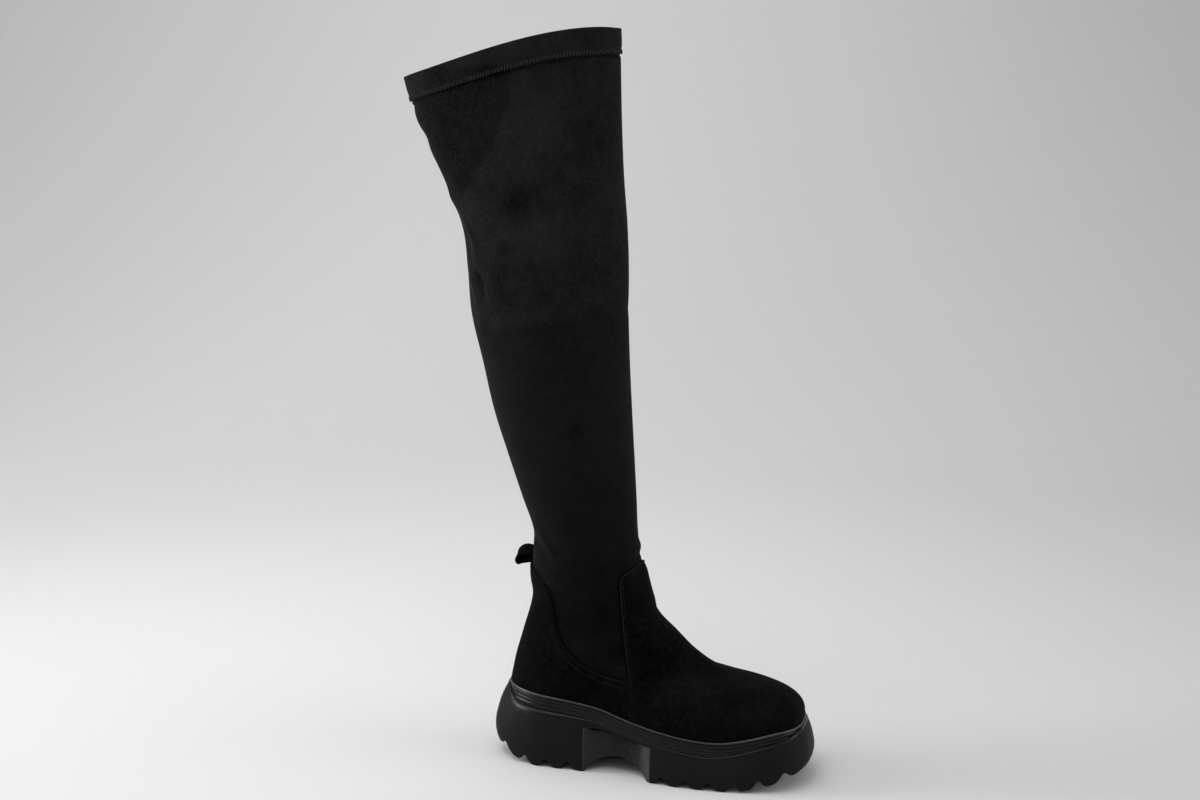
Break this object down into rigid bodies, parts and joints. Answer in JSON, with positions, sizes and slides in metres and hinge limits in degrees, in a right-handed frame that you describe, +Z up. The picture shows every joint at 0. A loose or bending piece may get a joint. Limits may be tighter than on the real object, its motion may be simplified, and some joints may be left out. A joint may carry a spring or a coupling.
{
  "type": "stretch boot",
  "caption": "Right over-the-knee pull-on stretch boot with a suede foot, tubular stretch shaft, hemmed collar, back pull loop and a thick lugged platform sole.",
  "frame": {"origin": "on the floor, under the middle of the boot's box", "axes": "+X from heel to toe, +Y to the wearer's left, which is the inner side of this right foot, +Z up the leg"},
  "size_m": [0.3592, 0.113, 0.6315],
  "materials": {
    "sole_rubber": "matte moulded",
    "band_rubber": "satin ribbed",
    "insole_fabric": "matte",
    "foot_suede": "matte nap",
    "stretch_suede": "matte fine nap"
  },
  "bodies": {
    "root": {"outsole": "sole_rubber", "welt_band": "band_rubber", "insole": "insole_fabric", "upper": "foot_suede", "shaft": "stretch_suede", "pull_loop": "foot_suede"}
  },
  "joints": []
}
